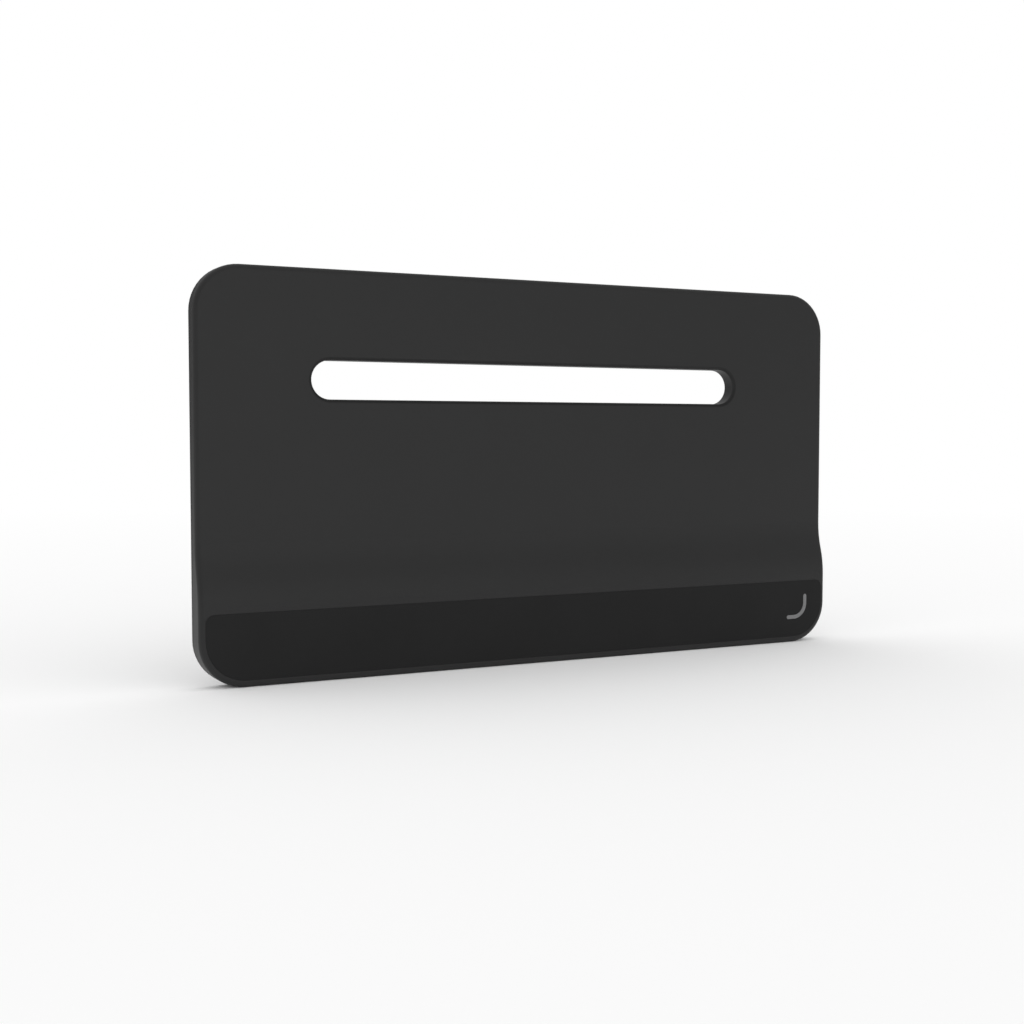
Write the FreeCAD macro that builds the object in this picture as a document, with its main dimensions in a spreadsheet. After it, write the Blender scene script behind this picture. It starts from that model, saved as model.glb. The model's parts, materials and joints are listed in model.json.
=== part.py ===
import FreeCAD, Part
import math
import os
from types import SimpleNamespace

import Sketcher
from FreeCAD import Vector

# Driving sizes in millimetres. The panel stands on the floor, faces -Y and has +X on its right.
SIZES = {
    # Case
    "width": 234.0,
    "height": 126.6,
    "corner_radius": 14.25,
    "panel_thickness": 5.7,
    "foot_depth": 8.6,
    "foot_height": 24.5,
    "swell_height": 19.0,
    "rim_round": 1.75,
    "back_chamfer": 0.25,
    "shell_wall": 1.7,
    "cover_thickness": 1.6,
    "parting_chamfer": 0.25,
    "lip_wall": 1.2,
    "lip_depth": 1.2,
    "fit_gap": 0.12,
    # Slot through the panel
    "slot_length": 157.6,
    "slot_width": 12.0,
    "slot_z": 92.6,
    "slot_shift": -1.7,
    "slot_round": 1.0,
    "collar_wall": 1.6,
    # Fascia strip let into the foot
    "fascia_thickness": 0.9,
    "fascia_margin": 0.05,
    "fascia_gap": 0.05,
    "fascia_low": 2.2,
    "fascia_top": 22.45,
    "fascia_top_radius": 2.8,
    "backing_margin": 1.5,
    # Status mark, a bent bar round the centre of the lower right corner
    "mark_radius": 5.0,
    "mark_width": 1.4,
    "mark_leg": 2.5,
    "guide_margin": 1.0,
    # Fixing of the cover
    "boss_radius": 2.6,
    "boss_inset": 9.0,
    "foot_screw_x": 56.0,
    "foot_screw_z": 12.0,
    "screw_radius": 1.0,
    "screw_head_radius": 1.9,
    "screw_length": 4.0,
    "screw_sink": 0.1,
    "pilot_margin": 0.3,
    # Antenna loop of sheet metal
    "radiator_thickness": 0.4,
    "radiator_gap": 2.4,
    "radiator_bottom": 56.0,
    "radiator_top_margin": 7.0,
    "radiator_corner": 6.0,
    "radiator_clearance": 0.4,
    "feed_gap": 4.0,
    "feed_strip": 5.0,
    "feed_end": 21.0,
    "feed_pin_z": 23.6,
    "feed_pin_width": 1.4,
    "clamp_width": 5.0,
    "clamp_inset": 9.0,
    # Amplifier board
    "board_thickness": 1.0,
    "board_left": -34.0,
    "board_low": 4.6,
    "board_top": 26.4,
    "board_standoff": 1.5,
    "board_post_width": 4.0,
    "board_screw_inset": 7.0,
    "board_screw_z": 21.6,
    "board_screw_radius": 0.8,
    "board_screw_length": 3.1,
    "board_screw_head_radius": 1.6,
    "board_screw_head": 1.0,
    # Parts on the board
    "led_length": 3.0,
    "led_width": 2.8,
    "led_height": 0.6,
    "led_gap": 0.1,
    "shield_left": 11.0,
    "shield_low": 6.6,
    "shield_length": 32.0,
    "shield_width": 17.0,
    "shield_height": 1.5,
    "shield_sheet": 0.3,
    "lead_width": 0.5,
    "lead_thickness": 0.25,
    "lead_reach": 1.1,
    "capacitor_length": 2.0,
    "capacitor_width": 1.2,
    "capacitor_height": 0.9,
    "capacitor_pitch": 4.0,
    "capacitor_x": 9.0,
    "capacitor_z": 2.4,
    # Coaxial output jack
    "jack_z": 12.4,
    "jack_radius": 4.7,
    "jack_bore": 3.1,
    "jack_length": 10.6,
    "jack_chamfer": 0.5,
    "jack_flange": 13.0,
    "jack_hole_gap": 0.2,
    "jack_leg_width": 1.1,
    "jack_leg_inset": 1.5,
    "jack_tail": 0.6,
    "relief_width": 0.6,
    "relief_depth": 0.3,
    "relief_margin": 0.2,
    "insulator_step": 0.4,
    "contact_radius": 0.9,
    "contact_mouth": 0.55,
    "washer_radius": 6.7,
    "washer_thickness": 0.6,
    "nut_flats": 12.0,
    "nut_thickness": 2.4,
    "thread_gap": 0.06,
}
# Chips: the place of each one's middle from the low edge and datum of its field, and its moulded size
CHIPS = {
    "amplifier_chip": {"x": 9.0, "z": 8.5, "length": 3.9, "width": 3.0, "height": 0.9},
    "band_filter": {"x": 22.0, "z": 8.5, "length": 5.0, "width": 5.0, "height": 0.9},
    "balun_transformer": {"x": 18.0, "z": 9.4, "length": 4.0, "width": 4.4, "height": 1.5},
    "voltage_regulator": {"x": 12.0, "z": 9.4, "length": 6.5, "width": 3.5, "height": 1.5},
    "gain_controller": {"x": 0.1, "z": 9.4, "length": 4.9, "width": 3.9, "height": 1.4},
}
CHIP_LEADS = {
    "amplifier_chip": 4,
    "band_filter": 3,
    "balun_transformer": 3,
    "voltage_regulator": 3,
    "gain_controller": 4,
}
CAPACITORS = 4
for chip, measures in CHIPS.items():
    SIZES.update({f"{chip}_{measure}": number for measure, number in measures.items()})
# Two places closer than this are the same, and a face whose normal has this much of an axis faces along it
TOUCH = 1e-4
FACING = 0.5


class Size:
    """A length with its value now and the sheet formula that drives it."""

    def __init__(self, value, formula):
        self.value = value
        self.formula = formula

    def __neg__(self):
        return 0 - self

    def __add__(self, other):
        return join(self, "+", other, self.value + size_of(other).value)

    def __radd__(self, other):
        return size_of(other) + self

    def __sub__(self, other):
        return join(self, "-", other, self.value - size_of(other).value)

    def __rsub__(self, other):
        return size_of(other) - self

    def __mul__(self, other):
        return join(self, "*", other, self.value * size_of(other).value)

    def __rmul__(self, other):
        return size_of(other) * self

    def __truediv__(self, other):
        return join(self, "/", other, self.value / size_of(other).value)


def size_of(item):
    return item if isinstance(item, Size) else Size(float(item), str(item))


def join(first, sign, second, value):
    return Size(value, f"({first.formula} {sign} {size_of(second).formula})")


# The sheet that drives every sketch and feature
doc = FreeCAD.newDocument("indoor_antenna")
sheet = doc.addObject("Spreadsheet::Sheet", "sizes")
for row, (alias, number) in enumerate(SIZES.items(), start=1):
    sheet.set(f"A{row}", alias)
    sheet.set(f"B{row}", str(number))
    sheet.setAlias(f"B{row}", alias)
doc.recompute()
size = SimpleNamespace(**{alias: Size(number, f"sizes.{alias}") for alias, number in SIZES.items()})
nodes = []


class Outline:
    """A closed loop of lines and arcs in a sketch, with each corner placed by the sheet."""

    def __init__(self, sketch, x, y):
        self.sketch = sketch
        self.corners = [(size_of(x), size_of(y))]
        self.centres = []

    def line(self, x, y):
        self.corners.append((size_of(x), size_of(y)))
        self.centres.append(None)
        return self

    def arc(self, x, y, centre_x, centre_y, clockwise=False):
        self.corners.append((size_of(x), size_of(y)))
        self.centres.append((size_of(centre_x), size_of(centre_y), clockwise))
        return self

    def close(self):
        """Draws the loop, whose last stretch ends on the first corner."""
        stretches = []
        for first, last, centre in zip(self.corners, self.corners[1:], self.centres):
            stretches.append(self.draw_arc(first, last, *centre) if centre else self.draw_line(first, last))
        for number, (curve, start, end) in enumerate(stretches):
            following, joint, _ = stretches[(number + 1) % len(stretches)]
            self.sketch.addConstraint(Sketcher.Constraint("Coincident", curve, end, following, joint))
            place_point(self.sketch, curve, start, *self.corners[number])
        for number, centre in enumerate(self.centres):
            if centre:
                self.place_centre(stretches[number][0], *self.corners[number:number + 2], centre)

    def draw_line(self, first, last):
        return self.sketch.addGeometry(Part.LineSegment(point(*first), point(*last))), 1, 2

    def draw_arc(self, first, last, centre_x, centre_y, clockwise):
        centre = point(centre_x, centre_y)
        spokes = [point(*corner) - centre for corner in (first, last)]
        angles = [math.atan2(spoke.y, spoke.x) for spoke in spokes]
        if clockwise:
            angles.reverse()
        if angles[1] < angles[0]:
            angles[1] += 2 * math.pi
        circle = Part.Circle(centre, Vector(0, 0, 1), spokes[0].Length)
        ends = (2, 1) if clockwise else (1, 2)
        return self.sketch.addGeometry(Part.ArcOfCircle(circle, *angles)), *ends

    def place_centre(self, curve, first, last, centre):
        """Fixes the one freedom that an arc between two placed corners has left."""
        chord = point(*last) - point(*first)
        if abs(chord.y) >= abs(chord.x):
            bind_constraint(self.sketch, "DistanceX", curve, 3, centre[0])
        else:
            bind_constraint(self.sketch, "DistanceY", curve, 3, centre[1])


def point(x, y):
    return Vector(size_of(x).value, size_of(y).value, 0)


def bind_constraint(sketch, kind, curve, end, length):
    """Holds a point of a curve at a distance from the sketch's origin."""
    constraint = sketch.addConstraint(Sketcher.Constraint(kind, -1, 1, curve, end, length.value))
    sketch.setExpression(f"Constraints[{constraint}]", length.formula)


def place_point(sketch, curve, end, x, y):
    bind_constraint(sketch, "DistanceX", curve, end, size_of(x))
    bind_constraint(sketch, "DistanceY", curve, end, size_of(y))


def draw_polygon(sketch, corners):
    outline = Outline(sketch, *corners[0])
    for corner in corners[1:] + corners[:1]:
        outline.line(*corner)
    outline.close()


def draw_rectangle(sketch, left, right, low, high):
    draw_polygon(sketch, [(left, low), (right, low), (right, high), (left, high)])


def draw_rounded_rectangle(sketch, left, right, low, high, radius, top_radius=None):
    top = top_radius or radius
    outline = Outline(sketch, left + radius, low)
    outline.line(right - radius, low)
    outline.arc(right, low + radius, right - radius, low + radius)
    outline.line(right, high - top)
    outline.arc(right - top, high, right - top, high - top)
    outline.line(left + top, high)
    outline.arc(left, high - top, left + top, high - top)
    outline.line(left, low + radius)
    outline.arc(left + radius, low, left + radius, low + radius)
    outline.close()


def draw_slot(sketch, grow):
    """Draws the round-ended slot, larger all round by the given amount."""
    radius = size.slot_width / 2 + grow
    left = size.slot_shift - (size.slot_length - size.slot_width) / 2
    right = size.slot_shift + (size.slot_length - size.slot_width) / 2
    outline = Outline(sketch, left, size.slot_z - radius)
    outline.line(right, size.slot_z - radius)
    outline.arc(right, size.slot_z + radius, right, size.slot_z)
    outline.line(left, size.slot_z + radius)
    outline.arc(left, size.slot_z - radius, left, size.slot_z)
    outline.close()


def draw_mark(sketch, grow):
    """Draws the status mark, a bar bent through a quarter turn with round ends."""
    half = size.mark_width / 2 + grow
    near = size.mark_radius - half
    far = size.mark_radius + half
    top = mark_z + size.mark_leg
    left = mark_x - size.mark_leg
    outline = Outline(sketch, mark_x + near, top)
    outline.line(mark_x + near, mark_z)
    outline.arc(mark_x, mark_z - near, mark_x, mark_z, clockwise=True)
    outline.line(left, mark_z - near)
    outline.arc(left, mark_z - far, left, mark_z - size.mark_radius)
    outline.line(mark_x, mark_z - far)
    outline.arc(mark_x + far, mark_z, mark_x, mark_z)
    outline.line(mark_x + far, top)
    outline.arc(mark_x + near, top, mark_x + size.mark_radius, top)
    outline.close()


def draw_squares(sketch, centres, width):
    for x, z in centres:
        draw_rectangle(sketch, x - width / 2, x + width / 2, z - width / 2, z + width / 2)


def draw_circles(sketch, centres, radius):
    for x, z in centres:
        circle = sketch.addGeometry(Part.Circle(point(x, z), Vector(0, 0, 1), radius.value))
        place_point(sketch, circle, 3, x, z)
        constraint = sketch.addConstraint(Sketcher.Constraint("Radius", circle, radius.value))
        sketch.setExpression(f"Constraints[{constraint}]", radius.formula)


class Piece:
    """A body with its own sketches and features."""

    def __init__(self, label, is_node=True):
        self.body = doc.addObject("PartDesign::Body", label)
        self.body.Label = label
        if is_node:
            nodes.append(self.body)

    @property
    def shape(self):
        doc.recompute()
        return self.body.Tip.Shape

    def sketch(self, plane, **offset):
        """Makes a sketch on an origin plane, shifted along the plane's own axes."""
        support = next(item for item in self.body.Origin.OriginFeatures if item.Role == plane)
        sketch = self.body.newObject("Sketcher::SketchObject", f"{self.body.Label}_sketch")
        sketch.AttachmentSupport = [(support, "")]
        sketch.MapMode = "FlatFace"
        for axis, length in offset.items():
            sketch.setExpression(f"AttachmentOffset.Base.{axis}", size_of(length).formula)
        return sketch

    def front_sketch(self, y):
        """Makes a sketch seen from the front, at a depth; its pads grow forward, towards -Y."""
        return self.sketch("XZ_Plane", z=-y)

    def feature(self, kind, sketch):
        feature = self.body.newObject(f"PartDesign::{kind}", f"{self.body.Label}_{kind.lower()}")
        feature.Profile = sketch
        sketch.Visibility = False
        return feature

    def pad(self, sketch, length, side="One side"):
        pad = self.feature("Pad", sketch)
        pad.SideType = side
        pad.setExpression("Length", length.formula)

    def pocket(self, sketch, length):
        """Cuts forward, towards -Y, from the sketch."""
        pocket = self.feature("Pocket", sketch)
        pocket.Reversed = True
        pocket.setExpression("Length", length.formula)

    def turn(self, profile, x, z):
        """Revolves corners (depth, radius) about an axis along Y."""
        sketch = self.sketch("YZ_Plane", y=z, z=x)
        draw_polygon(sketch, profile)
        feature = self.feature("Revolution", sketch)
        feature.ReferenceAxis = (sketch, ["H_Axis"])
        feature.Angle = 360

    def dress(self, kind, wanted, length):
        """Rounds or chamfers the edges that a test picks from the shape so far."""
        shape = self.shape
        base = self.body.Tip
        names = [f"Edge{number}" for number, edge in enumerate(shape.Edges, start=1) if wanted(edge)]
        feature = self.body.newObject(f"PartDesign::{kind}", f"{self.body.Label}_{kind.lower()}")
        feature.Base = (base, names)
        feature.setExpression("Radius" if kind == "Fillet" else "Size", length.formula)

    def hollow(self, wanted, wall):
        """Shells the body inwards and leaves the face that a test picks open."""
        shape = self.shape
        base = self.body.Tip
        names = [f"Face{number}" for number, face in enumerate(shape.Faces, start=1) if wanted(face)]
        thickness = self.body.newObject("PartDesign::Thickness", f"{self.body.Label}_thickness")
        thickness.Base = (base, names)
        thickness.Join = "Intersection"
        thickness.Reversed = True
        thickness.setExpression("Value", wall.formula)


def at_depth(y):
    """Picks what lies in the plane of that Y."""
    def test(item):
        box = item.BoundBox
        return abs(box.YMin - y.value) < TOUCH and abs(box.YMax - y.value) < TOUCH
    return test


def in_slot(y):
    """Picks the slot's own edges in the plane of that Y."""
    def test(edge):
        reach = size.slot_width.value / 2 + TOUCH
        low = edge.BoundBox.ZMin > size.slot_z.value - reach
        high = edge.BoundBox.ZMax < size.slot_z.value + reach
        return at_depth(y)(edge) and low and high
    return test


def along_depth(edge):
    """Picks straight edges that run along Y."""
    return edge.BoundBox.DiagonalLength - edge.BoundBox.YLength < TOUCH


def bounds_one_of(faces):
    """Picks the edges that border exactly one of the faces."""
    def test(edge):
        return sum(any(edge.isSame(side) for side in face.Edges) for face in faces) == 1
    return test


def faces_front(face):
    low, high, left, right = face.ParameterRange
    return face.normalAt((low + high) / 2, (left + right) / 2).y < -FACING


def mirrored(x, z):
    return [(-x, z), (x, z)]


# Planes and places that several pieces share
half_width = size.width / 2
back = size.foot_depth / 2
parting = back - size.cover_thickness
panel_front = back - size.panel_thickness
panel_inside = panel_front + size.shell_wall
foot_front = -back
swell_top = size.foot_height + size.swell_height
backing_rear = foot_front + size.fascia_thickness + size.shell_wall
board_front = backing_rear + size.board_standoff
board_rear = board_front + size.board_thickness
mark_x = half_width - size.corner_radius
mark_z = size.corner_radius
board_right = mark_x + size.mark_radius
radiator_front = (panel_inside + parting - size.radiator_thickness) / 2
radiator_rear = radiator_front + size.radiator_thickness
radiator_top = size.height - size.radiator_top_margin
window_grow = size.collar_wall + size.radiator_clearance
window_low = size.slot_z - size.slot_width / 2 - window_grow
window_high = size.slot_z + size.slot_width / 2 + window_grow
jack_end = back + size.jack_length
nut_front = back + size.washer_thickness
nut_rear = nut_front + size.nut_thickness

panel_screws = mirrored(half_width - size.boss_inset, size.height - size.boss_inset)
foot_screws = mirrored(size.foot_screw_x, size.foot_screw_z)
board_screws = [
    (size.board_left + size.board_screw_inset, size.board_screw_z),
    (board_right - size.board_screw_inset, size.board_screw_z),
]
radiator_side = half_width - size.boss_inset - size.boss_radius - size.radiator_gap
upper_bar = (window_high + radiator_top) / 2
lower_bar = (size.radiator_bottom + window_low) / 2
clamps = mirrored(radiator_side - size.clamp_inset, upper_bar)
clamps += mirrored(radiator_side - size.clamp_inset, lower_bar)
clamps += mirrored(size.feed_gap / 2 + size.clamp_inset, lower_bar)
feed_x = size.feed_gap / 2 + size.feed_strip / 2
jack_legs = mirrored(size.jack_flange / 2 - size.jack_leg_inset, size.jack_z - size.jack_flange / 2
                     + size.jack_leg_inset)
jack_legs += mirrored(size.jack_flange / 2 - size.jack_leg_inset, size.jack_z + size.jack_flange / 2
                      - size.jack_leg_inset)


def draw_case_outline(sketch, inset, low=None, high=None, top_radius=None):
    """Draws the case's rounded outline, smaller all round by the inset or cut to other heights."""
    draw_rounded_rectangle(sketch, inset - half_width, half_width - inset, low or size_of(inset),
                           high or size.height - inset, size.corner_radius - inset, top_radius)


def draw_side_profile(sketch):
    """Draws the front half's section: thin panel, S-shaped swell of two equal arcs, thicker foot."""
    step = size.foot_depth - size.panel_thickness
    radius = (size.swell_height * size.swell_height + step * step) / (4 * step)
    outline = Outline(sketch, foot_front, 0)
    outline.line(parting, 0)
    outline.line(parting, size.height)
    outline.line(panel_front, size.height)
    outline.line(panel_front, swell_top)
    outline.arc((panel_front + foot_front) / 2, (swell_top + size.foot_height) / 2,
                panel_front - radius, swell_top, clockwise=True)
    outline.arc(foot_front, size.foot_height, foot_front + radius, size.foot_height)
    outline.line(foot_front, 0)
    outline.close()


def add_posts(piece, centres, radius, rear, front):
    """Adds round posts that reach from the rear plane forward into a wall."""
    sketch = piece.front_sketch(rear)
    draw_circles(sketch, centres, radius)
    piece.pad(sketch, rear - front)


def add_blocks(piece, centres, width, rear, front):
    """Adds square blocks that reach from the rear plane forward."""
    sketch = piece.front_sketch(rear)
    draw_squares(sketch, centres, width)
    piece.pad(sketch, rear - front)


def drill(piece, centres, radius, rear, front):
    sketch = piece.front_sketch(rear)
    draw_circles(sketch, centres, radius)
    piece.pocket(sketch, rear - front)


def build_front_shell():
    shell = Piece("front_shell")
    profile = shell.sketch("YZ_Plane")
    draw_side_profile(profile)
    shell.pad(profile, size.width, side="Symmetric")
    shell.dress("Fillet", along_depth, size.corner_radius)
    shell.hollow(at_depth(parting), size.shell_wall)
    front_faces = [face for face in shell.shape.Faces if faces_front(face)]
    shell.dress("Fillet", bounds_one_of(front_faces), size.rim_round)

    backing = shell.front_sketch(backing_rear)
    draw_case_outline(backing, size.shell_wall / 2, high=size.fascia_top + size.backing_margin,
                      top_radius=size.fascia_top_radius)
    shell.pad(backing, size.fascia_thickness + size.shell_wall / 2)
    recess = shell.front_sketch(foot_front + size.fascia_thickness)
    draw_case_outline(recess, size.rim_round + size.fascia_margin, size.fascia_low - size.fascia_gap,
                      size.fascia_top + size.fascia_gap, size.fascia_top_radius)
    shell.pocket(recess, size.fascia_thickness)
    window = shell.front_sketch(backing_rear)
    draw_mark(window, size.fascia_gap)
    shell.pocket(window, size.foot_depth / 2)

    collar = shell.front_sketch(parting)
    draw_slot(collar, size.collar_wall)
    shell.pad(collar, parting - panel_inside + size.shell_wall / 2)
    slot = shell.front_sketch(parting)
    draw_slot(slot, size_of(0))
    shell.pocket(slot, size.panel_thickness)
    shell.dress("Fillet", in_slot(panel_front), size.slot_round)

    pilot_end = back - size.screw_sink - size.screw_length - size.pilot_margin
    pilot_radius = size.screw_radius + size.thread_gap
    add_posts(shell, panel_screws, size.boss_radius, parting, panel_inside - size.shell_wall / 2)
    add_posts(shell, foot_screws, size.boss_radius, parting, backing_rear - size.shell_wall / 2)
    drill(shell, panel_screws + foot_screws, pilot_radius, parting, pilot_end)
    add_blocks(shell, clamps, size.clamp_width, radiator_front, panel_inside - size.shell_wall / 2)
    add_blocks(shell, board_screws, size.board_post_width, board_front, backing_rear - size.shell_wall / 2)
    drill(shell, board_screws, size.board_screw_radius + size.thread_gap, board_front,
          board_rear - size.board_screw_length - size.pilot_margin)


def build_rear_cover():
    cover = Piece("rear_cover")
    outline = cover.front_sketch(back)
    draw_case_outline(outline, size_of(0))
    cover.pad(outline, size.cover_thickness)
    cover.dress("Chamfer", at_depth(back), size.back_chamfer)
    cover.dress("Chamfer", at_depth(parting), size.parting_chamfer)
    lip = cover.front_sketch(parting)
    draw_case_outline(lip, size.shell_wall + size.fit_gap)
    draw_case_outline(lip, size.shell_wall + size.fit_gap + size.lip_wall)
    cover.pad(lip, size.lip_depth)
    add_blocks(cover, clamps, size.clamp_width, parting + size.cover_thickness / 2, radiator_rear)
    slot = cover.front_sketch(back)
    draw_slot(slot, size_of(0))
    cover.pocket(slot, size.cover_thickness)
    cover.dress("Chamfer", in_slot(back), size.back_chamfer)
    jack_hole = [(size_of(0), size.jack_z)]
    drill(cover, jack_hole, size.jack_radius + size.jack_hole_gap, back, parting)
    hole = size.screw_radius + size.fit_gap
    drill(cover, panel_screws + foot_screws, hole, back, parting)

    centres = [Vector(x.value, back.value, z.value) for x, z in panel_screws + foot_screws]

    def rings_a_screw(edge):
        offsets = [(edge.BoundBox.Center - centre).Length for centre in centres]
        return at_depth(back)(edge) and min(offsets) < hole.value

    cover.dress("Chamfer", rings_a_screw, size.screw_head_radius + size.fit_gap - hole)


def build_fascia_strip():
    strip = Piece("fascia_strip")
    outline = strip.front_sketch(foot_front + size.fascia_thickness)
    draw_case_outline(outline, size.rim_round + size.fascia_margin + size.fascia_gap, size.fascia_low,
                      size.fascia_top, size.fascia_top_radius - size.fascia_gap)
    strip.pad(outline, size.fascia_thickness)
    window = strip.front_sketch(foot_front + size.fascia_thickness)
    draw_mark(window, size.fascia_gap)
    strip.pocket(window, size.fascia_thickness)


def build_light_guide():
    guide = Piece("light_guide")
    bar = guide.front_sketch(backing_rear)
    draw_mark(bar, size_of(0))
    guide.pad(bar, backing_rear - foot_front)
    reach = size.mark_width / 2 + size.guide_margin
    flange = guide.front_sketch(board_front - size.led_height - size.led_gap)
    draw_rectangle(flange, mark_x - size.mark_leg - reach, mark_x + size.mark_radius + reach,
                   mark_z - size.mark_radius - reach, mark_z + size.mark_leg + reach)
    guide.pad(flange, size.board_standoff - size.led_height - size.led_gap)


def build_radiator():
    plate = Piece("radiator_plate")
    outline = plate.front_sketch(radiator_rear)
    draw_rounded_rectangle(outline, -radiator_side, radiator_side, size.radiator_bottom, radiator_top,
                           size.radiator_corner)
    draw_slot(outline, window_grow)
    plate.pad(outline, size.radiator_thickness)
    gap = plate.front_sketch(radiator_rear)
    draw_rectangle(gap, -size.feed_gap / 2, size.feed_gap / 2, size.feed_end, size.slot_z)
    plate.pocket(gap, size.radiator_thickness)
    strips = plate.front_sketch(radiator_rear)
    for side in (-1, 1):
        inner = side * size.feed_gap / 2
        outer = side * (size.feed_gap / 2 + size.feed_strip)
        left, right = (outer, inner) if side < 0 else (inner, outer)
        draw_rectangle(strips, left, right, size.feed_end, size.radiator_bottom + size.radiator_corner)
    plate.pad(strips, size.radiator_thickness)
    for label, x in (("feed_pin_left", -feed_x), ("feed_pin_right", feed_x)):
        pin = Piece(label)
        add_blocks(pin, [(x, size.feed_pin_z)], size.feed_pin_width, radiator_front, board_rear)


def build_board():
    board = Piece("amplifier_board")
    outline = board.front_sketch(board_rear)
    draw_rectangle(outline, size.board_left, board_right, size.board_low, size.board_top)
    draw_squares(outline, jack_legs, size.jack_leg_width + 2 * size.fit_gap)
    board.pad(outline, size.board_thickness)
    drill(board, foot_screws[1:], size.boss_radius + size.fit_gap, board_rear, board_front)
    drill(board, board_screws, size.board_screw_radius + size.fit_gap, board_rear, board_front)
    drill(board, [(size_of(0), size.jack_z)], size.contact_radius + size.fit_gap, board_rear, board_front)


def build_led():
    led = Piece("status_led")
    outline = led.front_sketch(board_front)
    draw_rectangle(outline, mark_x - size.led_length / 2, mark_x + size.led_length / 2,
                   mark_z - size.led_width / 2, mark_z + size.led_width / 2)
    led.pad(outline, size.led_height)


def build_shield():
    can = Piece("shield_can")
    rear = board_rear + size.shield_height
    right = size.shield_left + size.shield_length
    high = size.shield_low + size.shield_width
    outline = can.front_sketch(rear)
    draw_rectangle(outline, size.shield_left, right, size.shield_low, high)
    can.pad(outline, size.shield_height)
    can.hollow(at_depth(board_rear), size.shield_sheet)


def build_chip(label, datum_x, low):
    """Builds a moulded chip on the board, with a row of leads above and below it."""
    chip = Piece(label)
    x, z, length, width, height = (getattr(size, f"{label}_{measure}") for measure in CHIPS[label])
    x = datum_x + x
    z = low + z
    leads = CHIP_LEADS[label]
    pitch = length / leads
    feet = chip.front_sketch(board_rear + size.lead_thickness)
    for number in range(leads):
        left = x + pitch * (number - leads / 2 + 0.5) - size.lead_width / 2
        draw_rectangle(feet, left, left + size.lead_width, z - width / 2 - size.lead_reach,
                       z + width / 2 + size.lead_reach)
    chip.pad(feet, size.lead_thickness)
    mould = chip.front_sketch(board_rear + height)
    draw_rectangle(mould, x - length / 2, x + length / 2, z - width / 2, z + width / 2)
    chip.pad(mould, height)


def build_capacitors():
    """Builds a row of chip capacitors as one group of separate solids."""
    row = []
    low = size.board_low + size.capacitor_z
    for number in range(CAPACITORS):
        capacitor = Piece(f"capacitor_{number + 1}", is_node=False)
        left = size.foot_screw_x + size.capacitor_x + number * size.capacitor_pitch
        outline = capacitor.front_sketch(board_rear + size.capacitor_height)
        draw_rectangle(outline, left, left + size.capacitor_width, low, low + size.capacitor_length)
        capacitor.pad(outline, size.capacitor_height)
        row.append(capacitor.body)
    group("chip_capacitors", row)


def group(label, bodies):
    compound = doc.addObject("Part::Compound", label)
    compound.Label = label
    compound.Links = bodies
    nodes.append(compound)


def turned(label, x, z, profile, is_node=True):
    """Builds a turned piece from corners (depth, radius) about an axis along Y."""
    piece = Piece(label, is_node)
    piece.turn(profile, x, z)
    return piece


def build_cover_screws():
    screws = []
    head = back - size.screw_sink
    tip = head - size.screw_length
    neck = head - (size.screw_head_radius - size.screw_radius)
    profile = [(tip, 0), (head, 0), (head, size.screw_head_radius), (neck, size.screw_radius),
               (tip, size.screw_radius)]
    for number, (x, z) in enumerate(panel_screws + foot_screws, start=1):
        screws.append(turned(f"cover_screw_{number}", x, z, profile, is_node=False).body)
    group("cover_screws", screws)


def build_board_screws():
    screws = []
    head = board_rear + size.board_screw_head
    tip = board_rear - size.board_screw_length
    radius = size.board_screw_radius
    profile = [(tip, 0), (head, 0), (head, size.board_screw_head_radius),
               (board_rear, size.board_screw_head_radius), (board_rear, radius), (tip, radius)]
    for number, (x, z) in enumerate(board_screws, start=1):
        screws.append(turned(f"board_screw_{number}", x, z, profile, is_node=False).body)
    group("board_screws", screws)


def build_jack():
    radius = size.jack_radius
    waist = radius - size.relief_depth
    relief = nut_rear + size.relief_margin
    profile = [
        (board_rear, size.jack_bore), (jack_end, size.jack_bore),
        (jack_end, radius - size.jack_chamfer), (jack_end - size.jack_chamfer, radius),
        (relief + size.relief_width, radius), (relief + size.relief_width, waist),
        (relief, waist), (relief, radius), (board_rear, radius),
    ]
    body = turned("jack_body", size_of(0), size.jack_z, profile)
    flange = body.front_sketch(parting)
    half = size.jack_flange / 2
    draw_rectangle(flange, -half, half, size.jack_z - half, size.jack_z + half)
    draw_circles(flange, [(size_of(0), size.jack_z)], size.jack_bore)
    body.pad(flange, parting - board_rear)
    add_blocks(body, jack_legs, size.jack_leg_width, parting, board_front - size.jack_tail)

    inner = size.jack_bore - size.thread_gap
    face = jack_end - size.insulator_step
    sleeve = size.contact_radius + size.thread_gap
    tube = [(board_rear, sleeve), (face, sleeve), (face, inner), (board_rear, inner)]
    turned("jack_insulator", size_of(0), size.jack_z, tube)
    tail = board_front - size.jack_tail
    clip_end = face - size.insulator_step
    clip = [(tail, 0), (back, 0), (back, size.contact_mouth), (clip_end, size.contact_mouth),
            (clip_end, size.contact_radius), (tail, size.contact_radius)]
    turned("jack_contact", size_of(0), size.jack_z, clip)

    clear = radius + size.thread_gap
    ring = [(back, clear), (nut_front, clear), (nut_front, size.washer_radius), (back, size.washer_radius)]
    turned("jack_washer", size_of(0), size.jack_z, ring)
    nut = Piece("jack_nut")
    outline = nut.front_sketch(nut_rear)
    corner = size.nut_flats / math.sqrt(3)
    middle = size.nut_flats / 2
    draw_polygon(outline, [
        (corner / 2, size.jack_z + middle), (-corner / 2, size.jack_z + middle), (-corner, size.jack_z),
        (-corner / 2, size.jack_z - middle), (corner / 2, size.jack_z - middle), (corner, size.jack_z),
    ])
    draw_circles(outline, [(size_of(0), size.jack_z)], clear)
    nut.pad(outline, size.nut_thickness)


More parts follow.
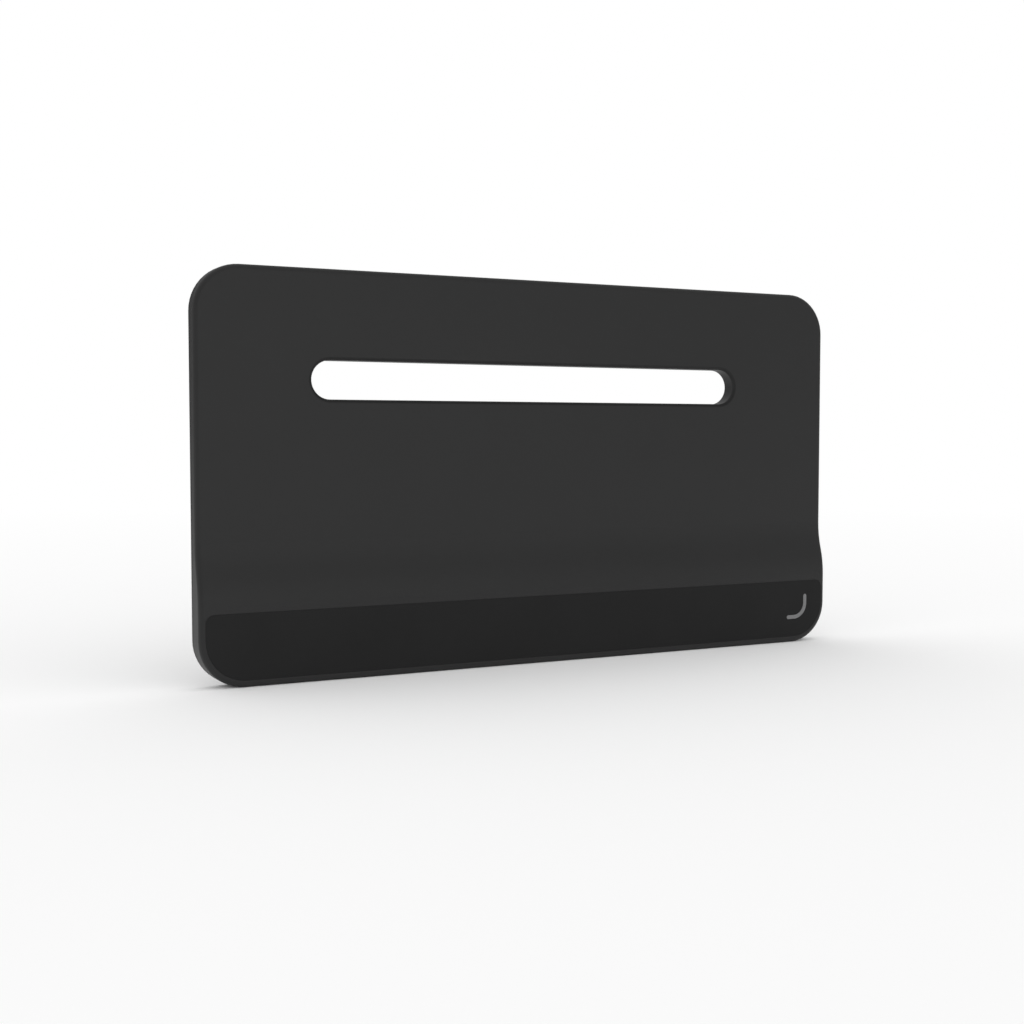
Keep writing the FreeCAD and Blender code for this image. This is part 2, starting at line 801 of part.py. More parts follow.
build_front_shell()
build_rear_cover()
build_fascia_strip()
build_light_guide()
build_radiator()
build_board()
build_led()
build_shield()
for chip in ("amplifier_chip", "band_filter"):
    build_chip(chip, size.shield_left, size.shield_low)
build_chip("balun_transformer", size.board_left, size.board_low)
build_chip("voltage_regulator", size.foot_screw_x, size.board_low)
build_chip("gain_controller", (size.foot_screw_x + board_right) / 2, size.board_low)
build_capacitors()
build_cover_screws()
build_board_screws()
build_jack()
doc.recompute()

for item in doc.Objects:
    if {"Invalid", "Error"} & set(item.State):
        raise RuntimeError(f"{item.Label} failed: {item.State}")
for node in nodes:
    if node.Shape.isNull() or not node.Shape.isValid():
        raise RuntimeError(f"{node.Label} has no valid shape")

os.makedirs("parts", exist_ok=True)
for node in nodes:
    node.Shape.exportStep(f"parts/{node.Label}.step")
    print(f"{node.Label}: {len(node.Shape.Solids)} solid(s), {node.Shape.Volume:.1f} mm3")
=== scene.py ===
# %% [markdown]
# # A slim indoor antenna panel, dressed for its picture
#
# The solids of this antenna were made to size elsewhere and arrive here as a fixed frame.
# This notebook gives them their finishes, adds the small turned pieces at the back, and lights
# the whole like a product on a white studio floor. Everything is in metres, +Z is up and the
# panel's front faces -Y.

# %% Load the frame
import json
import math

import bpy
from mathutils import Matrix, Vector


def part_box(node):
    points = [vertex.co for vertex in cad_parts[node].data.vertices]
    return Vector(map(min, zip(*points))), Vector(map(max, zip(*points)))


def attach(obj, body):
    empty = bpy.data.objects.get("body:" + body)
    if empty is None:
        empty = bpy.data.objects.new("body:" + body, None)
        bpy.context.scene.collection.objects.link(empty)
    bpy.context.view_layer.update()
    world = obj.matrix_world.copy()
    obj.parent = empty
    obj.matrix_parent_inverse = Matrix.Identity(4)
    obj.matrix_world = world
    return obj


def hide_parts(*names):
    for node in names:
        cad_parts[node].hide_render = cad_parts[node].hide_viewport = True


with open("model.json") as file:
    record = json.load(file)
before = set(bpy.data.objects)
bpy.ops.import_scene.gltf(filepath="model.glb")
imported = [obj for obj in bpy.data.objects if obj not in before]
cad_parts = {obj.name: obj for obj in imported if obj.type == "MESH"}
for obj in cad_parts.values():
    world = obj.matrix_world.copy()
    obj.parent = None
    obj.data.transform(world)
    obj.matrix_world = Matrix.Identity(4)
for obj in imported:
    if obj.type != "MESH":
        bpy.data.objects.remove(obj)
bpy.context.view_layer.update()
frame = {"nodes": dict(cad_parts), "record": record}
nodes = frame["nodes"]
MM = 0.001

# %% [markdown]
# ## Sums on sockets
#
# A finish is a small node graph. Wiring Math nodes by hand hides the formula, so one class wraps
# a socket and lets Python's own signs add the nodes. A second class adds any other node from its
# type, its settings and what its sockets get, and has short names for the few that come often.


# %% Numbers on sockets
class Value:
    """A number that varies over a surface, held in a socket."""

    def __init__(self, graph, socket):
        self.graph = graph
        self.socket = socket

    def joined(self, operation, first, second):
        return self.graph.add("Math", {"operation": operation}, {0: first, 1: second})

    def __add__(self, other):
        return self.joined("ADD", self, other)

    def __radd__(self, other):
        return self.joined("ADD", other, self)

    def __sub__(self, other):
        return self.joined("SUBTRACT", self, other)

    def __rsub__(self, other):
        return self.joined("SUBTRACT", other, self)

    def __mul__(self, other):
        return self.joined("MULTIPLY", self, other)

    def __rmul__(self, other):
        return self.joined("MULTIPLY", other, self)

    def __truediv__(self, other):
        return self.joined("DIVIDE", self, other)

    def __gt__(self, other):
        return self.joined("GREATER_THAN", self, other)

    def __abs__(self):
        return self.graph.add("Math", {"operation": "ABSOLUTE"}, {0: self})


# %% Node graph
class Graph:
    """A node tree that is written as calls."""

    def __init__(self, tree):
        self.tree = tree

    def add(self, kind, settings=None, sockets=None, output=0):
        """Adds a node, sets it up, feeds its sockets and gives one of its outputs."""
        node = self.tree.nodes.new("ShaderNode" + kind)
        for name, setting in (settings or {}).items():
            setattr(node, name, setting)
        for name, content in (sockets or {}).items():
            self.feed(node.inputs[name], content)
        return Value(self, node.outputs[output]) if node.outputs else None

    def feed(self, socket, content):
        if isinstance(content, Value):
            self.tree.links.new(content.socket, socket)
        else:
            socket.default_value = content

    def clamp(self, content):
        """Keeps a number between 0 and 1."""
        return self.add("Clamp", None, {"Value": content})

    def part(self, vector, axis):
        """Takes X, Y or Z from a vector."""
        return self.add("SeparateXYZ", None, {0: vector}, axis)

    def vector(self, operation, first, second, output="Vector"):
        return self.add("VectorMath", {"operation": operation}, {0: first, 1: second}, output)

    def length(self, vector):
        return self.add("VectorMath", {"operation": "LENGTH"}, {0: vector}, "Value")

    def ray(self, kind):
        """Is 1 for a ray of the kind Camera, Glossy or Transmission, and 0 for others."""
        return self.add("LightPath", output=f"Is {kind} Ray")


# %% [markdown]
# ## What all finishes share
#
# Every finish here is one Principled shader whose colour, roughness and bump vary over the piece.
# A picture could be wrapped round it, but noise measured in metres keeps its real size on any
# piece, with no seams. The class below holds that recipe and puts a finish on the nodes that
# wear it.


# %% Finish helpers
class Finish(Graph):
    """A procedural material round one Principled shader."""

    def __init__(self, name, constants=None):
        self.material = bpy.data.materials.new(name)
        self.material.use_nodes = True
        super().__init__(self.material.node_tree)
        self.shader = self.tree.nodes["Principled BSDF"]
        self.surface(constants or {})
        self.places = self.add("TexCoord", output="Object")

    def surface(self, inputs):
        for name, content in inputs.items():
            self.feed(self.shader.inputs[name], content)

    def noise(self, grain, detail=2.0, stretch=(1, 1, 1)):
        """Cloudy noise whose spots are about one grain across, longer along a stretched axis."""
        scale = [1 / (grain * length) for length in stretch]
        mapped = self.add("Mapping", None, {"Vector": self.places, "Scale": scale})
        return self.add("TexNoise", None, {"Vector": mapped, "Scale": 1.0, "Detail": detail}, "Fac")

    def blend(self, share, first, second):
        """Mixes two colours, plain or varying, by a varying share."""
        ends = [colour if isinstance(colour, Value) else (*colour, 1) for colour in (first, second)]
        return self.add("Mix", {"data_type": "RGBA"}, {0: share, 6: ends[0], 7: ends[1]}, 2)

    def bump(self, height, depth, strength):
        sockets = {"Height": height, "Distance": depth, "Strength": strength}
        self.surface({"Normal": self.add("Bump", None, sockets, "Normal")})

    def dress(self, *names):
        for name in names:
            nodes[name].data.materials[0] = self.material
        print(f"{self.material.name}: {', '.join(names)}")


def between(ends, share):
    """A number that goes from the first end to the second as the share goes from 0 to 1."""
    low, high = ends
    return low + (high - low) * share


# %% [markdown]
# ## Camera
#
# The picture was taken from the front left, just above the middle of the panel. A 50 mm lens on a
# 36 mm sensor matches how its lines run together, so the camera is set once, by numbers, and the
# view stays put while everything else changes.

# %% Camera
CAMERA_PLACE = (-0.22673, -0.41637, 0.07572)
CAMERA_DOWN = 3.106
CAMERA_TURN = 27.380
CAMERA_LENS = 50
CAMERA_SENSOR = 36


def deselect():
    bpy.ops.object.select_all(action="DESELECT")


deselect()
bpy.ops.object.camera_add(
    location=CAMERA_PLACE,
    rotation=(math.radians(90 - CAMERA_DOWN), 0, math.radians(-CAMERA_TURN)),
)
camera = bpy.context.object
camera.name = "camera"
camera.data.lens = CAMERA_LENS
camera.data.sensor_width = CAMERA_SENSOR
bpy.context.scene.camera = camera
print(f"camera at {CAMERA_PLACE}, looking {CAMERA_DOWN} degrees down")

# %% [markdown]
# ## Studio floor
#
# The panel stands on a sweep of white paper. A plain white plane would end in a grey horizon, so
# the floor is real paper near the panel, where it takes the soft contact shadow, and turns into
# even white further out. Behind the panel lies a grey card that only reflections see, because the
# white paper there would make the panel's side walls shine.

# %% Floor
FLOOR_SIZE = 12.0
deselect()
bpy.ops.mesh.primitive_plane_add(size=FLOOR_SIZE, location=(0, 0, 0))
floor = bpy.context.object
floor.name = "studio_floor"
print(f"floor of {FLOOR_SIZE} m")

# %% Floor finish
PAPER = (0.97, 0.97, 0.97, 1)
FADE_START = 0.30
FADE_LENGTH = 0.75
FLOOR_CARD_START = 0.05
FLOOR_CARD_FADE = 0.30
FLOOR_CARD_WEIGHT = 0.6
floor_material = bpy.data.materials.new("studio_floor")
floor_material.use_nodes = True
sweep = Graph(floor_material.node_tree)
sweep.tree.nodes.clear()
floor_places = sweep.add("TexCoord", output="Object")
fade = sweep.clamp((sweep.length(floor_places) - FADE_START) / FADE_LENGTH)
seen = sweep.clamp(sweep.ray("Camera") + sweep.ray("Glossy") + sweep.ray("Transmission"))
floor_card = sweep.clamp((sweep.part(floor_places, "Y") - FLOOR_CARD_START) / FLOOR_CARD_FADE)
whiteness = 1 - FLOOR_CARD_WEIGHT * sweep.ray("Glossy") * floor_card
paper = sweep.add("BsdfDiffuse", None, {"Color": PAPER})
white = sweep.add("Emission", None, {"Color": whiteness})
sweep_surface = sweep.add("MixShader", None, {0: fade * seen, 1: paper, 2: white})
sweep.add("OutputMaterial", None, {"Surface": sweep_surface})
floor.data.materials.append(floor_material)
print(f"floor fades to white from {FADE_START} m to {FADE_START + FADE_LENGTH} m")

# %% [markdown]
# ## Light
#
# The panel was lit as for a catalogue, from all round and a touch more from the front. Large soft
# lamps could do that, but an even dome in the world does it with less noise. The direction of a
# ray tells where on the dome it ends.

# %% Dome
DOME_LIGHT = 1.0
DOME_LEAN = 0.15
world = bpy.data.worlds.new("studio")
world.use_nodes = True
bpy.context.scene.world = world
sky = Graph(world.node_tree)
sky.tree.nodes.clear()
ray_way = sky.add("TexCoord", output="Generated")
ray_right, ray_back, ray_up = (sky.part(ray_way, axis) for axis in "XYZ")
dome = DOME_LIGHT - DOME_LEAN * ray_back
print(f"dome light {DOME_LIGHT}, {DOME_LEAN} more from the front and {DOME_LEAN} less from behind")

# %% [markdown]
# ## Reflections
#
# What the plastic reflects is set up apart from the light, as a photographer does with cards. Real
# cards round the panel would also shade the floor, so each card is a round patch of the world that
# only glossy rays see. They see a sky that is pale near the floor and darker overhead, except at
# the back left, from where light reaches the slot's right wall. Black cards take the shine off the
# rim and the walls, and one soft patch in front lifts the panel's left half. The camera sees plain
# white.

# %% Cards
# Each card's direction, the angles in degrees where it ends and where its soft edge ends, and its weight
BLACK_CARDS = (
    ((-0.47, -0.88, 0.0), 10, 38, 0.45),
    ((-0.92, -0.39, 0.0), 15, 60, 0.5),
    ((-0.10, 0.99, 0.05), 12, 30, 1.0),
)
RIGHT_CARD = ((0.80, -0.60, 0.0), 15, 45, 0.85)
FRONT_PATCH = ((0.17, -0.985, 0.0), 5, 24, 1.0)


def card(centre, inner, outer, weight):
    """A round patch of the sky, which has its weight within the inner angle and 0 past the outer one."""
    nearness = sky.vector("DOT_PRODUCT", ray_way, centre, "Value")
    low, high = math.cos(math.radians(outer)), math.cos(math.radians(inner))
    return weight * sky.clamp((nearness - low) / (high - low))


print(f"{len(BLACK_CARDS) + 1} black cards and one pale patch")

# %% Reflected sky
GLOSS_LOW = 0.90
GLOSS_HIGH = 0.55
GLOSS_REACH = 0.60
GLOSS_BACK = 0.60
GLOSS_SIDE = 1.5
front_right = sky.clamp(GLOSS_BACK - ray_back + GLOSS_SIDE * ray_right)
ceiling = sky.clamp(ray_up / GLOSS_REACH) * front_right
gloss = GLOSS_LOW * (1 - card(*RIGHT_CARD)) * (1 - ceiling) + GLOSS_HIGH * ceiling
for black_card in BLACK_CARDS:
    gloss = gloss * (1 - card(*black_card))
gloss = gloss + card(*FRONT_PATCH)
unseen = dome + sky.ray("Glossy") * (gloss - dome)
strength = unseen + sky.clamp(sky.ray("Camera") + sky.ray("Transmission")) * (1 - unseen)
background = sky.add("Background", None, {"Color": (1, 1, 1, 1), "Strength": strength})
sky.add("OutputWorld", None, {"Surface": background})
bpy.context.scene.view_settings.view_transform = "Standard"
print(f"reflected sky {GLOSS_LOW} near the floor, {GLOSS_HIGH} overhead")

# %% [markdown]
# ## Case
#
# Both halves of the case are moulded in a charcoal plastic. The mould was spark eroded, which
# leaves a matt skin of grains about a quarter of a millimetre across. Modelling the grains would
# take millions of faces, so a bump of their size breaks up the gloss, and slow clouds in the colour
# keep the large flat panel from looking painted.

# %% Case finish
CASE_DARK = (0.0158, 0.0158, 0.0159)
CASE_LIGHT = (0.0190, 0.0190, 0.0191)
CASE_ROUGH = (0.44, 0.52)
CASE_GRAIN = 0.25 * MM
CASE_CLOUD = 22 * MM
CASE_CLOUD_SHARE = 0.6
CASE_DEPTH = 0.02 * MM
case = Finish("case_charcoal", {"Specular IOR Level": 0.28})
case_grain = case.noise(CASE_GRAIN)
case_mottle = CASE_CLOUD_SHARE * case.noise(CASE_CLOUD) + (1 - CASE_CLOUD_SHARE) * case_grain
case_colour = case.blend(case_mottle, CASE_DARK, CASE_LIGHT)
case.surface({"Roughness": between(CASE_ROUGH, case_grain)})
case.bump(case_grain, CASE_DEPTH, strength=0.6)
case.dress("front_shell", "rear_cover")

# %% [markdown]
# ## Painted shade round the slot
#
# A fine line of painted shade runs round the slot's rounded edge, where a thin shadow would fall.
# It could be cut as a groove, but here it is only a change of tone: the finish measures how far
# each point lies from the slot's middle line and darkens the colour of a narrow band just outside
# the wall.

# %% Slot distance
OPENING_CLEARANCE = 0.2 * MM
slot_low, slot_high = frame["record"]["physics"]["openings"][0]["box_m"]
slot_middle = [(low + high) / 2 for low, high in zip(slot_low, slot_high)]
slot_straight = (slot_high[0] - slot_low[0]) / 2 + OPENING_CLEARANCE
slot_radius = (slot_high[2] - slot_low[2]) / 2 + OPENING_CLEARANCE
slot_offset = case.vector("SUBTRACT", case.places, slot_middle)
slot_along = abs(case.part(slot_offset, "X")) - slot_straight
past_end = case.add("Math", {"operation": "MAXIMUM"}, {0: slot_along, 1: 0.0})
from_line = case.add("CombineXYZ", None, {"X": past_end, "Z": case.part(slot_offset, "Z")})
slot_reach = case.length(from_line)
print(f"slot {2 * (slot_straight + slot_radius) / MM:.1f} by {2 * slot_radius / MM:.1f} mm")

# %% Painted slot shade
# Painted shade: the tone and width of a dark band of colour round the slot's edge
SLOT_SHADE_TONE = (0.0080, 0.0080, 0.0081)
SLOT_SHADE_START = 0.1 * MM
SLOT_SHADE_WIDTH = 1.1 * MM
SLOT_SHADE_FADE = SLOT_SHADE_WIDTH / 3
slot_shade_middle = slot_radius + SLOT_SHADE_START + SLOT_SHADE_WIDTH / 2
slot_shade_share = case.clamp((SLOT_SHADE_WIDTH / 2 - abs(slot_reach - slot_shade_middle)) / SLOT_SHADE_FADE)
# The painted shade darkens the case colour in that band
case.surface({"Base Color": case.blend(slot_shade_share, case_colour, SLOT_SHADE_TONE)})
print(f"dark edge {SLOT_SHADE_WIDTH / MM:.1f} mm wide")

# %% [markdown]
# ## Fascia
#
# A smooth strip of darker plastic is let into the foot. It came out of a polished mould, so its
# grain is finer and shallower than that of the case. It could be painted on, but it is a piece of
# its own with a fine gap round it, and only needs the case's recipe with smaller numbers.

# %% Fascia finish
FASCIA_DARK = (0.0118, 0.0118, 0.0119)
FASCIA_LIGHT = (0.0142, 0.0142, 0.0143)
FASCIA_ROUGH = (0.36, 0.42)
FASCIA_GRAIN = 0.12 * MM
FASCIA_CLOUD = 15 * MM
FASCIA_DEPTH = 0.005 * MM
fascia = Finish("fascia_satin", {"Specular IOR Level": 0.12})
fascia_grain = fascia.noise(FASCIA_GRAIN)
fascia.surface({
    "Base Color": fascia.blend(fascia.noise(FASCIA_CLOUD), FASCIA_DARK, FASCIA_LIGHT),
    "Roughness": between(FASCIA_ROUGH, fascia_grain),
})
fascia.bump(fascia_grain, FASCIA_DEPTH, strength=0.4)
fascia.dress("fascia_strip")

# %% [markdown]
# ## Light guide
#
# The grey mark at the right end is the face of a smoked bar that brings the status light to the
# front, and it looks grey while the light is off. Clear plastic would show the dark inside of the
# foot and need many more rays, so an opaque grey with a soft haze in it stands for the bar.

# %% Light guide finish
GUIDE_DARK = (0.144, 0.144, 0.146)
GUIDE_LIGHT = (0.176, 0.176, 0.178)
GUIDE_ROUGH = (0.40, 0.50)
GUIDE_CLOUD = 1.5 * MM
guide = Finish("guide_smoked")
guide_cloud = guide.noise(GUIDE_CLOUD)
guide.surface({
    "Base Color": guide.blend(guide_cloud, GUIDE_DARK, GUIDE_LIGHT),
    "Roughness": between(GUIDE_ROUGH, guide_cloud),
})
guide.dress("light_guide")

# %% [markdown]
# ## Metals
#
# The jack is turned brass with bright nickel on it, its spring contact is bare brass, the antenna
# loop is rolled aluminium and the shield is tinned steel. Each metal differs by its tint and by
# the marks of how it was made: rings from the lathe, or long lines from the rolls. An anisotropic
# shader would stretch the highlights but show no marks close up, so a noise that is stretched hard
# draws them, and feeds both the roughness and a bump.

# %% Metal helper
CLOUD_GRAINS = 25
CLOUD_SHARE = 0.7
CLOUD_ROUGH = 0.10
MARK_ROUGH = 0.08
MARK_DEPTH = 0.1


def metal(name, dark, light, rough, grain, lines):
    """A bare metal with clouded tint and fine tool marks along the stretched axes."""
    finish = Finish(name, {"Metallic": 1.0})
    cloud = finish.noise(CLOUD_GRAINS * grain)
    marks = finish.noise(grain, stretch=lines)
    finish.surface({
        "Base Color": finish.blend(CLOUD_SHARE * cloud + (1 - CLOUD_SHARE) * marks, dark, light),
        "Roughness": rough + CLOUD_ROUGH * cloud + MARK_ROUGH * marks,
    })
    finish.bump(marks, MARK_DEPTH * grain, strength=0.35)
    return finish


# %% Metal finishes
LATHE_RINGS = (150, 1, 150)
ROLL_LINES = (60, 1, 1)
nickel = metal("nickel_bright", dark=(0.58, 0.555, 0.51), light=(0.70, 0.675, 0.63),
               rough=0.14, grain=0.04 * MM, lines=LATHE_RINGS)
brass = metal("brass_bare", dark=(0.62, 0.43, 0.17), light=(0.78, 0.58, 0.28),
              rough=0.18, grain=0.03 * MM, lines=LATHE_RINGS)
brass.dress("jack_contact", "feed_pin_left", "feed_pin_right")
sheet_metal = metal("aluminium_rolled", dark=(0.68, 0.68, 0.70), light=(0.78, 0.78, 0.80),
                    rough=0.26, grain=0.10 * MM, lines=ROLL_LINES)
sheet_metal.dress("radiator_plate")
tinplate = metal("steel_tinned", dark=(0.56, 0.56, 0.56), light=(0.68, 0.68, 0.69),
                 rough=0.24, grain=0.08 * MM, lines=ROLL_LINES)
tinplate.dress("shield_can")
black_zinc = metal("black_zinc", dark=(0.075, 0.075, 0.078), light=(0.125, 0.122, 0.126),
                   rough=0.28, grain=0.03 * MM, lines=LATHE_RINGS)
black_zinc.dress("board_screws")

# %% [markdown]
# ## Circuit board
#
# The amplifier board lies behind the fascia. Its solder mask shows the copper lines under it as a
# slightly lighter green. They could be drawn one by one, but the case hides them, so bands of a
# wave pattern, upright in some patches and level in others, stand in for them.

# %% Board finish
MASK_GREEN = (0.012, 0.085, 0.038)
TRACE_GREEN = (0.030, 0.150, 0.066)
BOARD_ROUGH = (0.30, 0.38)
BOARD_GRAIN = 0.4 * MM
TRACE_SCALE = 180
TRACE_EDGE = 0.82
TRACE_DEPTH = 0.03 * MM
PATCH_SIZE = 9 * MM
PATCH_EDGE = 0.5
board = Finish("board_green")
trace_pitch = board.add("Mapping", None, {"Vector": board.places, "Scale": [TRACE_SCALE] * 3})


def trace_lines(direction):
    wave = board.add("TexWave", {"bands_direction": direction}, {"Vector": trace_pitch, "Scale": 1.0}, "Fac")
    return wave > TRACE_EDGE


trace_patch = board.noise(PATCH_SIZE) > PATCH_EDGE
traces = trace_patch * trace_lines("Z") + (1 - trace_patch) * trace_lines("X")
board.surface({
    "Base Color": board.blend(traces, MASK_GREEN, TRACE_GREEN),
    "Roughness": between(BOARD_ROUGH, board.noise(BOARD_GRAIN)),
})
board.bump(traces, TRACE_DEPTH, strength=0.5)
board.dress("amplifier_board")

# %% [markdown]
# ## Chips and capacitors
#
# Chips are dark resin and capacitors fired clay, between bright soldered ends. Body and ends are
# one solid, so the ends could be cut off as pieces of their own. It is simpler to pick them by
# their height, measured from the middle of each piece's box.

# %% Soldered pieces
SOLDER = (0.62, 0.62, 0.61)
RESIN_DARK = (0.014, 0.014, 0.015)
RESIN_LIGHT = (0.026, 0.026, 0.027)
CLAY_DARK = (0.34, 0.25, 0.17)
CLAY_LIGHT = (0.46, 0.36, 0.26)
LEAD_REACH = 1.1 * MM
CAPACITOR_END = 0.35 * MM
BODY_ROUGH = (0.52, 0.64)
BODY_GRAIN = 0.12 * MM
BODY_DEPTH = 0.01 * MM
SOLDER_SHINE = 0.22


def soldered(name, end, dark, light):
    """A piece whose body ends in bright tinned leads above and below."""
    low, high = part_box(name)
    finish = Finish(f"{name}_body")
    from_middle = abs(finish.part(finish.places, "Z") - (low[2] + high[2]) / 2)
    tinned = from_middle > (high[2] - low[2]) / 2 - end
    grain = finish.noise(BODY_GRAIN)
    finish.surface({
        "Base Color": finish.blend(tinned, finish.blend(grain, dark, light), SOLDER),
        "Metallic": tinned,
        "Roughness": between(BODY_ROUGH, grain) - SOLDER_SHINE * tinned,
    })
    finish.bump(grain, BODY_DEPTH, strength=0.4)
    finish.dress(name)


for chip in ("amplifier_chip", "band_filter", "balun_transformer", "voltage_regulator", "gain_controller"):
    soldered(chip, LEAD_REACH, RESIN_DARK, RESIN_LIGHT)
soldered("chip_capacitors", CAPACITOR_END, CLAY_DARK, CLAY_LIGHT)

# %% [markdown]
# ## Status light and insulator
#
# The status light is a small milky package with a yellow spot of phosphor in its middle. The spot
# could be a disc of its own, but it lies flush under the resin, so it is a circle in the finish.
# The insulator in the jack is off-white moulded plastic with a faint flow pattern.

# %% Status light finish
PHOSPHOR = (0.74, 0.60, 0.10)
MILKY = (0.80, 0.80, 0.76)
PHOSPHOR_RADIUS = 1.0 * MM
LED_ROUGH = (0.25, 0.40)
LED_HAZE = 0.3 * MM
LED_DEPTH = 0.01 * MM
NO_DEPTH = (1, 0, 1)
led = Finish("led_package", {"Coat Weight": 0.5})
led_middle = [(low + high) / 2 for low, high in zip(*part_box("status_led"))]
led_offset = led.vector("SUBTRACT", led.places, led_middle)
led_flat = led.vector("MULTIPLY", led_offset, NO_DEPTH)
led_haze = led.noise(LED_HAZE)
led.surface({
    "Base Color": led.blend(led.length(led_flat) > PHOSPHOR_RADIUS, PHOSPHOR, MILKY),
    "Roughness": between(LED_ROUGH, led_haze),
})
led.bump(led_haze, LED_DEPTH, strength=0.3)
led.dress("status_led")

# %% Insulator finish
INSULATOR_DARK = (0.62, 0.60, 0.54)
INSULATOR_LIGHT = (0.74, 0.72, 0.66)
INSULATOR_ROUGH = (0.40, 0.54)
FLOW_SIZE = 0.9 * MM
FLOW_DEPTH = 0.01 * MM
insulator = Finish("insulator_white", {"Specular IOR Level": 0.4})
flow = insulator.noise(FLOW_SIZE, detail=4.0)
insulator.surface({
    "Base Color": insulator.blend(flow, INSULATOR_DARK, INSULATOR_LIGHT),
    "Roughness": between(INSULATOR_ROUGH, flow),
})
insulator.bump(flow, FLOW_DEPTH, strength=0.4)
insulator.dress("jack_insulator")

# %% [markdown]
# ## Turning by hand
#
# Washer, nut, jack and screws are lathe work. Cylinders could be stacked and joined, but half a
# section shows every size at once. A plane is merged to one point, the point is extruded corner by
# corner into the section's line, and the line is spun round the Y axis. Corners are given as radius
# and depth, the way a turner reads a drawing.


# %% Section helper
def draw_section(name, corners):
    """Makes a line of edges through corners (radius, depth) in the plane of X and Y."""
    deselect()
    bpy.ops.mesh.primitive_plane_add(size=MM)
    section = bpy.context.object
    section.name = section.data.name = name
    bpy.ops.object.mode_set(mode="EDIT")
    bpy.ops.mesh.select_mode(type="VERT")
    bpy.ops.mesh.select_all(action="SELECT")
    bpy.ops.mesh.merge(type="CENTER")
    last = (0, 0)
    for number, (radius, depth) in enumerate(corners):
        step = (radius - last[0], depth - last[1], 0)
        if number == 0:
            bpy.ops.transform.translate(value=step)
        else:
            bpy.ops.mesh.extrude_region_move(TRANSFORM_OT_translate={"value": step})
        last = (radius, depth)
    bpy.ops.object.mode_set(mode="OBJECT")
    return section


# %% Turning helpers
WELD = 0.0005 * MM
SPIN_STEPS = 64


def weld():
    """Merges doubles and turns all faces outwards, in edit mode."""
    bpy.ops.mesh.select_all(action="SELECT")
    bpy.ops.mesh.remove_doubles(threshold=WELD)
    bpy.ops.mesh.normals_make_consistent(inside=False)


def turn(name, corners, closed=True):
    """Spins a section round the Y axis; a closed section comes back to its first corner."""
    piece = draw_section(name, [*corners, corners[0]] if closed else corners)
    bpy.ops.object.mode_set(mode="EDIT")
    bpy.ops.mesh.select_all(action="SELECT")
    bpy.ops.mesh.spin(steps=SPIN_STEPS, angle=2 * math.pi, center=(0, 0, 0), axis=(0, 1, 0))
    weld()
    bpy.ops.object.mode_set(mode="OBJECT")
    return piece


jack_low, jack_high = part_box("jack_body")
jack_z = sum(corner[2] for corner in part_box("jack_contact")) / 2
print(f"jack axis {jack_z / MM:.1f} mm above the floor")

# %% [markdown]
# ## Into place
#
# Turned pieces are made round the Y axis and then moved to the jack. An object could keep its own
# place, but these patterns are measured from the object, so every move is applied to the mesh.
# A finished piece is smoothed between its sharp edges, dressed, and named for the solid that it
# stands for.


# %% Placing helpers
def pick(piece):
    """Makes a piece the active object and the only selected one."""
    deselect()
    piece.select_set(True)
    bpy.context.view_layer.objects.active = piece


def place(piece, x, y, z):
    """Moves a piece and keeps its place in its mesh."""
    pick(piece)
    piece.location = (x, y, z)
    bpy.ops.object.transform_apply(location=True, rotation=True, scale=True)


def copied(piece):
    """Copies a piece with its own mesh."""
    pick(piece)
    bpy.ops.object.duplicate(linked=False)
    return bpy.context.object


# %% Fitting helpers
SHARP = math.radians(30)


def open_edges(piece):
    """Counts how far a mesh is from closed, where every edge has two faces."""
    return abs(2 * len(piece.data.edges) - sum(len(face.vertices) for face in piece.data.polygons))


def fit(piece, finish, node):
    """Smooths a piece, gives it its finish and lets it stand for a node."""
    pick(piece)
    bpy.ops.object.shade_smooth_by_angle(angle=SHARP)
    piece.data.materials.clear()
    piece.data.materials.append(finish.material)
    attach(piece, "root")
    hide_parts(node)
    faces = len(piece.data.polygons)
    print(f"{piece.name}: {faces} faces, {open_edges(piece)} open edges, stands for {node}")


# %% [markdown]
# ## Washer
#
# A flat ring between the cover and the nut. A plain ring with square corners would look cut from
# card. Stamping rolls one edge of the metal, so the section has a rounder outer corner towards the
# nut and small bevels at the others.

# %% Washer
BEVEL = 0.10 * MM
BARREL_RADIUS = 4.7 * MM
WASHER_GAP = 0.06 * MM
washer_low, washer_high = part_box("jack_washer")
washer_radius = (washer_high[0] - washer_low[0]) / 2
washer_hole = BARREL_RADIUS + WASHER_GAP
washer = turn("jack_ring", [
    (washer_hole + BEVEL, washer_low[1]), (washer_radius - BEVEL, washer_low[1]),
    (washer_radius, washer_low[1] + BEVEL), (washer_radius, washer_high[1] - 2 * BEVEL),
    (washer_radius - BEVEL / 2, washer_high[1] - BEVEL / 2), (washer_radius - 2 * BEVEL, washer_high[1]),
    (washer_hole + BEVEL, washer_high[1]), (washer_hole, washer_high[1] - BEVEL),
    (washer_hole, washer_low[1] + BEVEL),
])
place(washer, 0, 0, jack_z)
fit(washer, nickel, "jack_washer")

# %% [markdown]
# ## Nut
#
# A hexagon bar, faced and chamfered on the lathe: the chamfer is a cone, so it leaves the six
# curved edges that every nut shows. It could be bevelled by hand, but taking what a hexagon and a
# turned, chamfered ring share gives those curves by themselves.


# %% Cutting helper
def carve(piece, operation, tool):
    """Cuts a piece by a tool, joins them or keeps what they share, and throws the tool away."""
    pick(piece)
    cut = piece.modifiers.new("cut", "BOOLEAN")
    cut.operation = operation
    cut.object = tool
    cut.solver = "EXACT"
    bpy.ops.object.modifier_apply(modifier=cut.name)
    bpy.data.objects.remove(tool)


